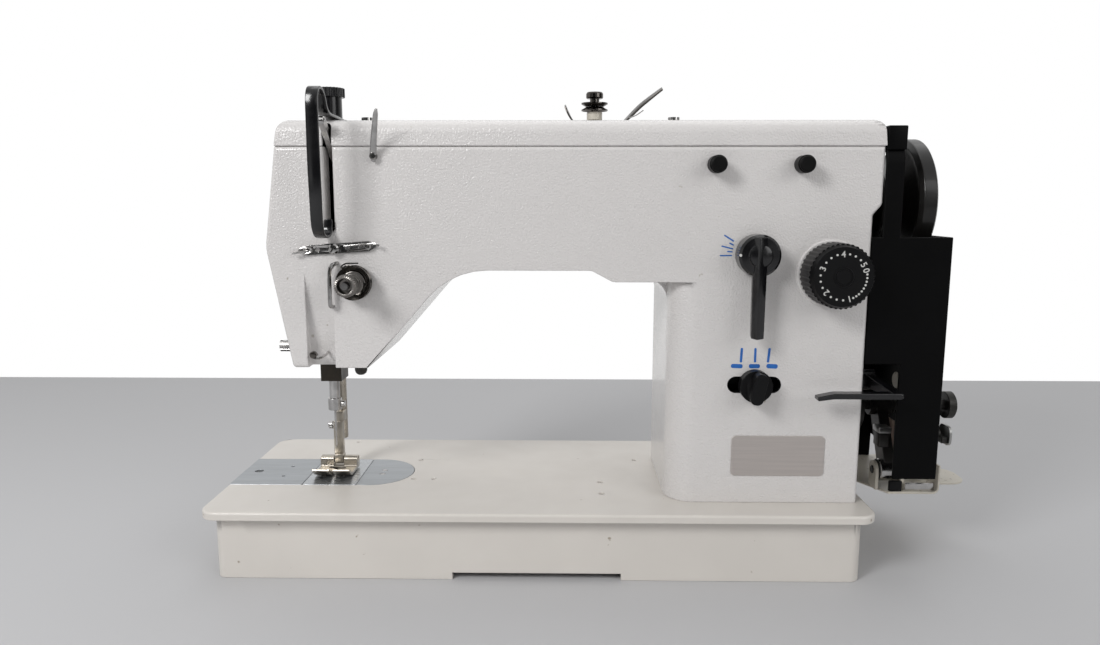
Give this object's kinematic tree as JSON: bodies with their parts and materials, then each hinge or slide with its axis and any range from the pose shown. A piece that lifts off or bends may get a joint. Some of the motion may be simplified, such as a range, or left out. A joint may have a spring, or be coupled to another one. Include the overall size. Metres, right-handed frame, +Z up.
{
  "type": "sewing machine",
  "caption": "Flat-bed zig-zag sewing machine head with handwheel, belt guard and bobbin winder, lever controls and a presser foot.",
  "frame": {"origin": "centre of the overall bounding box in plan, at the height of the bed's feet", "axes": "+X along the bed from the head to the handwheel, +Y away from the operator, +Z up"},
  "size_m": [0.573, 0.185, 0.3535],
  "materials": {
    "bed_enamel": "satin cream enamel",
    "arm_enamel": "glossy off-white enamel with a fine orange-peel texture",
    "base_enamel": "satin cream enamel",
    "plate_steel": "satin",
    "bright_parts": "polished",
    "black_sheet": "semi-gloss black enamel",
    "black_plastic": "semi-gloss black",
    "plug_plastic": "matt dark grey",
    "badge": "brushed",
    "dark_steel": "dark grey",
    "shaft_steel": "ground",
    "bush_bronze": "oiled bronze",
    "pulley_metal": "cast",
    "belt_rubber": "matt"
  },
  "bodies": {
    "machine": {"bed": "bed_enamel", "arm": "arm_enamel", "top_cover": "arm_enamel", "cover_screws": "bright_parts", "face_plate": "arm_enamel", "rear_cover": "arm_enamel", "front_plugs": "plug_plastic", "name_plate": "badge", "needle_plate": "plate_steel", "end_plate": "plate_steel", "plate_screws": "bright_parts", "take_up_guard": "black_sheet", "thread_guide_pin": "bright_parts", "thread_guide_plate": "bright_parts", "wire_guides": "bright_parts", "tension_post": "bright_parts", "thread_discs": "bright_parts", "tension_spring": "bright_parts", "top_guide_bracket": "bright_parts", "belt_guard_front": "black_sheet", "belt_guard_rear": "black_sheet", "winder_base": "base_enamel", "shaft_bushes": "bush_bronze", "timing_belt": "belt_rubber", "bobbin_case": "shaft_steel", "bobbin": "pulley_metal", "presser_spring": "shaft_steel"},
    "main_shaft": {"arm_shaft": "shaft_steel", "handwheel": "black_sheet", "needle_crank": "shaft_steel", "upper_sprocket": "pulley_metal"},
    "link": {"needle_link": "shaft_steel"},
    "bed_shaft": {"lower_shaft": "shaft_steel", "lower_sprocket": "pulley_metal"},
    "hook": {"hook_shaft": "shaft_steel", "rotary_hook": "shaft_steel"},
    "gate": {"needle_gate": "shaft_steel"},
    "needle_bar": {"needle_bar": "bright_parts", "needle_clamp": "bright_parts", "needle": "bright_parts"},
    "take_up": {"take_up_lever": "bright_parts"},
    "lifter": {"lifter_lever": "bright_parts"},
    "presser_bar": {"presser_bar": "bright_parts", "foot_shank": "bright_parts"},
    "presser_foot": {"presser_foot": "bright_parts"},
    "feed_dog": {"feed_dog": "shaft_steel"},
    "slide_plate": {"slide_plate": "plate_steel"},
    "width_lever": {"width_lever": "black_plastic"},
    "stitch_dial": {"stitch_dial": "black_plastic"},
    "position_knob": {"position_knob": "black_plastic"},
    "reverse_lever": {"reverse_lever": "black_sheet"},
    "winder_arm": {"winder_arm": "dark_steel"},
    "winder_pulley": {"winder_pulley": "dark_steel"},
    "winder_latch": {"winder_latch": "dark_steel"},
    "winder_thumb_screw": {"winder_thumb_screw": "black_plastic"},
    "tension_nut": {"tension_nut": "bright_parts"},
    "check_spring": {"check_spring": "bright_parts"},
    "top_guide_nut": {"top_guide_nut": "bright_parts"},
    "presser_knob": {"presser_knob": "black_plastic"},
    "face_plate_screw": {"face_plate_screw": "bright_parts"}
  },
  "joints": [
    {"name": "arm_shaft_spin", "type": "hinge", "parent": "machine", "child": "main_shaft", "pos_m": [-0.1875, 0.0005, 0.266], "axis": [1, 0, 0], "continuous": true},
    {"name": "needle_link_turn", "type": "hinge", "parent": "main_shaft", "child": "link", "pos_m": [-0.2005, 0.0005, 0.2827], "axis": [1, 0, 0], "continuous": true},
    {"name": "lower_shaft_spin", "type": "hinge", "parent": "machine", "child": "bed_shaft", "pos_m": [-0.2105, 0.0305, 0.026], "axis": [1, 0, 0], "continuous": true},
    {"name": "hook_spin", "type": "hinge", "parent": "machine", "child": "hook", "pos_m": [-0.211, 0.0045, 0.026], "axis": [0, 1, 0], "continuous": true},
    {"name": "needle_gate_swing", "type": "hinge", "parent": "machine", "child": "gate", "pos_m": [-0.211, 0.0035, 0.298], "axis": [0, 1, 0], "range_deg": [-0.7, 0.7]},
    {"name": "needle_bar_slide", "type": "slide", "parent": "gate", "child": "needle_bar", "axis": [0, 0, 1], "range_m": [-0.0334, 0]},
    {"name": "take_up_swing", "type": "hinge", "parent": "machine", "child": "take_up", "pos_m": [-0.1919, -0.0295, 0.29], "axis": [1, 0, 0], "range_deg": [0, 74]},
    {"name": "lifter_turn", "type": "hinge", "parent": "machine", "child": "lifter", "pos_m": [-0.211, 0.0505, 0.198], "axis": [0, -1, 0], "range_deg": [0, 71]},
    {"name": "presser_bar_slide", "type": "slide", "parent": "machine", "child": "presser_bar", "axis": [0, 0, 1], "range_m": [0, 0.006], "deforming": ["presser_spring"]},
    {"name": "presser_foot_tilt", "type": "hinge", "parent": "presser_bar", "child": "presser_foot", "pos_m": [-0.211, 0.0115, 0.06], "axis": [1, 0, 0], "range_deg": [-5, 0]},
    {"name": "feed_dog_slide", "type": "slide", "parent": "machine", "child": "feed_dog", "axis": [0, 1, 0], "range_m": [-0.0025, 0.0025]},
    {"name": "slide_plate_draw", "type": "slide", "parent": "machine", "child": "slide_plate", "axis": [-1, 0, 0], "range_m": [0, 0.05]},
    {"name": "width_lever_turn", "type": "hinge", "parent": "machine", "child": "width_lever", "pos_m": [0.1025, -0.0595, 0.231], "axis": [0, 1, 0], "range_deg": [0, 38]},
    {"name": "stitch_dial_turn", "type": "hinge", "parent": "machine", "child": "stitch_dial", "pos_m": [0.1545, -0.0595, 0.218], "axis": [0, 1, 0], "range_deg": [-140, 140]},
    {"name": "position_knob_slide", "type": "slide", "parent": "machine", "child": "position_knob", "axis": [1, 0, 0], "range_m": [-0.009, 0.009]},
    {"name": "reverse_lever_press", "type": "hinge", "parent": "machine", "child": "reverse_lever", "pos_m": [0.182, -0.0255, 0.136], "axis": [1, 0, 0], "range_deg": [0, 18], "stiffness_Nm_per_rad": 0.35, "springref_deg": -17.19},
    {"name": "winder_arm_swing", "type": "hinge", "parent": "machine", "child": "winder_arm", "pos_m": [0.2065, -0.0195, 0.064], "axis": [1, 0, 0], "range_deg": [0, 5]},
    {"name": "winder_spin", "type": "hinge", "parent": "winder_arm", "child": "winder_pulley", "pos_m": [0.2065, 0.0045, 0.109], "axis": [1, 0, 0], "continuous": true},
    {"name": "winder_latch_turn", "type": "hinge", "parent": "machine", "child": "winder_latch", "pos_m": [0.2375, -0.0035, 0.088], "axis": [1, 0, 0], "range_deg": [-20, 0], "stiffness_Nm_per_rad": 0.02, "springref_deg": 28.65},
    {"name": "winder_thumb_screw_turn", "type": "hinge", "parent": "machine", "child": "winder_thumb_screw", "pos_m": [0.2535, 0.0025, 0.06], "axis": [1, 0, 0], "range_deg": [-180, 180]},
    {"name": "tension_nut_turn", "type": "hinge", "parent": "machine", "child": "tension_nut", "pos_m": [-0.1745, -0.0595, 0.2116], "axis": [0, 1, 0], "range_deg": [-180, 180]},
    {"name": "check_spring_swing", "type": "hinge", "parent": "machine", "child": "check_spring", "pos_m": [-0.1745, -0.0595, 0.2116], "axis": [0, 1, 0], "range_deg": [0, 25], "stiffness_Nm_per_rad": 0.002, "springref_deg": -17.19},
    {"name": "top_guide_nut_turn", "type": "hinge", "parent": "machine", "child": "top_guide_nut", "pos_m": [-0.0077, -0.0155, 0.3225], "axis": [0, 0, 1], "range_deg": [-180, 180]},
    {"name": "presser_knob_turn", "type": "hinge", "parent": "machine", "child": "presser_knob", "pos_m": [-0.211, 0.0235, 0.3225], "axis": [0, 0, 1], "range_deg": [-180, 180]},
    {"name": "face_plate_screw_turn", "type": "hinge", "parent": "machine", "child": "face_plate_screw", "pos_m": [-0.2246, -0.048, 0.164], "axis": [1, 0, 0], "range_deg": [-180, 180]}
  ],
  "couplings": [
    {"joint": "needle_link_turn", "follows": "arm_shaft_spin", "ratio": -1},
    {"joint": "lower_shaft_spin", "follows": "arm_shaft_spin", "ratio": 1},
    {"joint": "hook_spin", "follows": "arm_shaft_spin", "ratio": 2},
    {"joint": "lifter_turn", "follows": "presser_bar_slide", "rad_per_m": 203.62}
  ]
}
